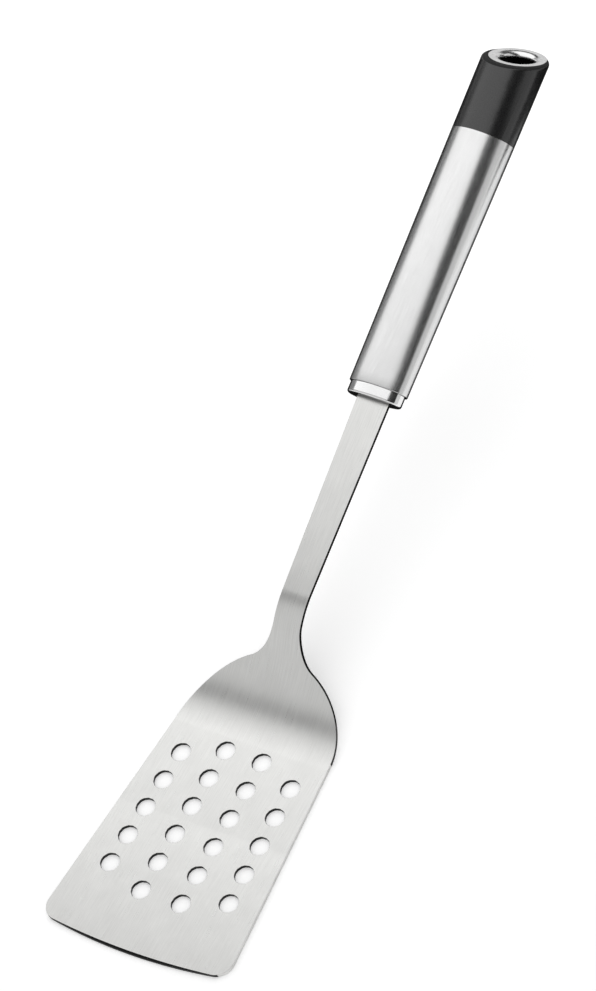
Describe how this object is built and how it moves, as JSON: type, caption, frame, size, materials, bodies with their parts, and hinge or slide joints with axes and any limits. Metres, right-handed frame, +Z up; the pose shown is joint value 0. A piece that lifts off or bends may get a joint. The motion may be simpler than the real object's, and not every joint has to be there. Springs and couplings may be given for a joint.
{
  "type": "grill spatula",
  "caption": "Long steel spatula with a perforated, flared blade, a flat cranked shank and an oval steel handle with a black slanted end and hanging eyelet.",
  "frame": {"origin": "on the blade's underside, in the middle of the pattern of drain holes", "axes": "+Y from the blade towards the handle's end, +X across the blade, +Z up out of the blade's top face"},
  "size_m": [0.0852, 0.3768, 0.0992],
  "materials": {
    "sheet_steel": "fine lengthwise brushing, satin",
    "handle_steel": "satin brushed along the handle",
    "polished_steel": "polished stainless steel",
    "core_plastic": "moulded, unseen",
    "cap_plastic": "fine satin moulded black"
  },
  "bodies": {
    "root": {"blade": "sheet_steel", "front_ferrule": "polished_steel", "handle_sleeve": "handle_steel", "tang_core": "core_plastic", "end_cap": "cap_plastic", "hanging_eyelet": "polished_steel"}
  },
  "joints": []
}
